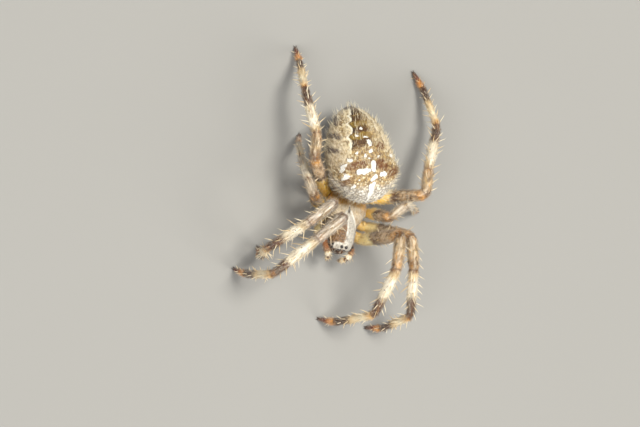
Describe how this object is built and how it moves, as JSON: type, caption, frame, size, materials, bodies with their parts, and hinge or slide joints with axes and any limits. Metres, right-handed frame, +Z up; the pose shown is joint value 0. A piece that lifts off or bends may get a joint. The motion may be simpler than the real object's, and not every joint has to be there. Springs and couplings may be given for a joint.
{
  "type": "orb weaver spider, an adult female cross spider (Araneus diadematus), still model",
  "caption": "Life-size still model of a cross orb weaver spider, standing with its front legs swept to one side, banded spiny legs and a white cross on the back.",
  "frame": {"origin": "middle of the footprint of the whole animal, on the floor it stands on", "axes": "+X toward the animal's left, +Y toward its rear, so its head points along -Y, +Z up"},
  "size_m": [0.0146, 0.0208, 0.008],
  "materials": {
    "leg": "banded cream and dark brown, matt, with short pale hair and pale spines",
    "thigh": "translucent amber at the base, dark ring, mottled brown, half-gloss",
    "foot": "pale cream and orange with dark tips",
    "shield": "tan shield under short white hair",
    "underside": "dark brown, half-gloss",
    "abdomen": "mottled cream, olive and brown with a white cross and short pale hair",
    "jaw": "amber brown, half-gloss",
    "fang": "dark red-brown, glossy",
    "eye": "black, glossy",
    "spinneret": "brown, matt"
  },
  "bodies": {
    "root": {"carapace": "shield", "sternum": "underside", "pedicel": "underside", "abdomen": "abdomen", "spinnerets": "spinneret", "chelicera_left": "jaw", "fang_left": "fang", "pedipalp_left": "leg", "eye_front_middle_left": "eye", "eye_rear_middle_left": "eye", "eye_front_outer_left": "eye", "eye_rear_outer_left": "eye", "leg_1_left_coxa": "thigh", "leg_1_left_femur": "thigh", "leg_1_left_patella": "leg", "leg_1_left_tibia": "leg", "leg_1_left_foot": "foot", "leg_2_left_coxa": "thigh", "leg_2_left_femur": "thigh", "leg_2_left_patella": "leg", "leg_2_left_tibia": "leg", "leg_2_left_foot": "foot", "leg_3_left_coxa": "thigh", "leg_3_left_femur": "thigh", "leg_3_left_patella": "leg", "leg_3_left_tibia": "leg", "leg_3_left_foot": "foot", "leg_4_left_coxa": "thigh", "leg_4_left_femur": "thigh", "leg_4_left_patella": "leg", "leg_4_left_tibia": "leg", "leg_4_left_foot": "foot", "chelicera_right": "jaw", "fang_right": "fang", "pedipalp_right": "leg", "eye_front_middle_right": "eye", "eye_rear_middle_right": "eye", "eye_front_outer_right": "eye", "eye_rear_outer_right": "eye", "leg_1_right_coxa": "thigh", "leg_1_right_femur": "thigh", "leg_1_right_patella": "leg", "leg_1_right_tibia": "leg", "leg_1_right_foot": "foot", "leg_2_right_coxa": "thigh", "leg_2_right_femur": "thigh", "leg_2_right_patella": "leg", "leg_2_right_tibia": "leg", "leg_2_right_foot": "foot", "leg_3_right_coxa": "thigh", "leg_3_right_femur": "thigh", "leg_3_right_patella": "leg", "leg_3_right_tibia": "leg", "leg_3_right_foot": "foot", "leg_4_right_coxa": "thigh", "leg_4_right_femur": "thigh", "leg_4_right_patella": "leg", "leg_4_right_tibia": "leg", "leg_4_right_foot": "foot"}
  },
  "joints": []
}
